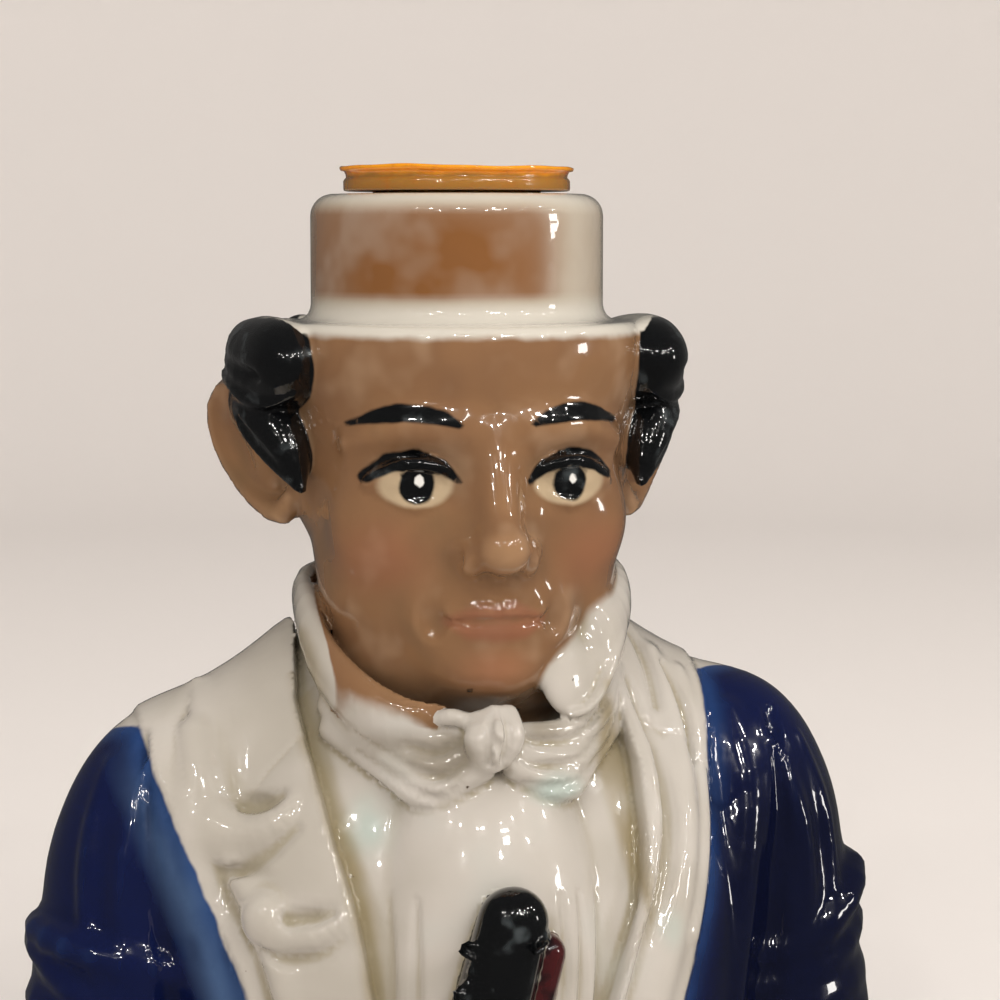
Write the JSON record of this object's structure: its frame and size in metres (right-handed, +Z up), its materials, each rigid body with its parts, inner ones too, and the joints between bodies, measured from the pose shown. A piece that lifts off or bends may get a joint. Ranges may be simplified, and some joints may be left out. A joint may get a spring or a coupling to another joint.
{
  "type": "figural decanter",
  "caption": "Hollow glazed porcelain decanter shaped as the head and chest of a gentleman, with a turned neck on top of the head and an amber seal ring in its mouth.",
  "frame": {"origin": "centre of the flat underside, on the axis of the turned neck and mouth", "axes": "+Z up along the mouth's axis; the figure faces -Y; +X is the figure's left"},
  "size_m": [0.0994, 0.0606, 0.1061],
  "materials": {
    "porcelain": "glossy clear glaze over painted porcelain",
    "amber_resin": "glossy amber resin over a tan band"
  },
  "bodies": {
    "root": {"decanter_body": "porcelain", "mouth_seal": "amber_resin"}
  },
  "joints": []
}
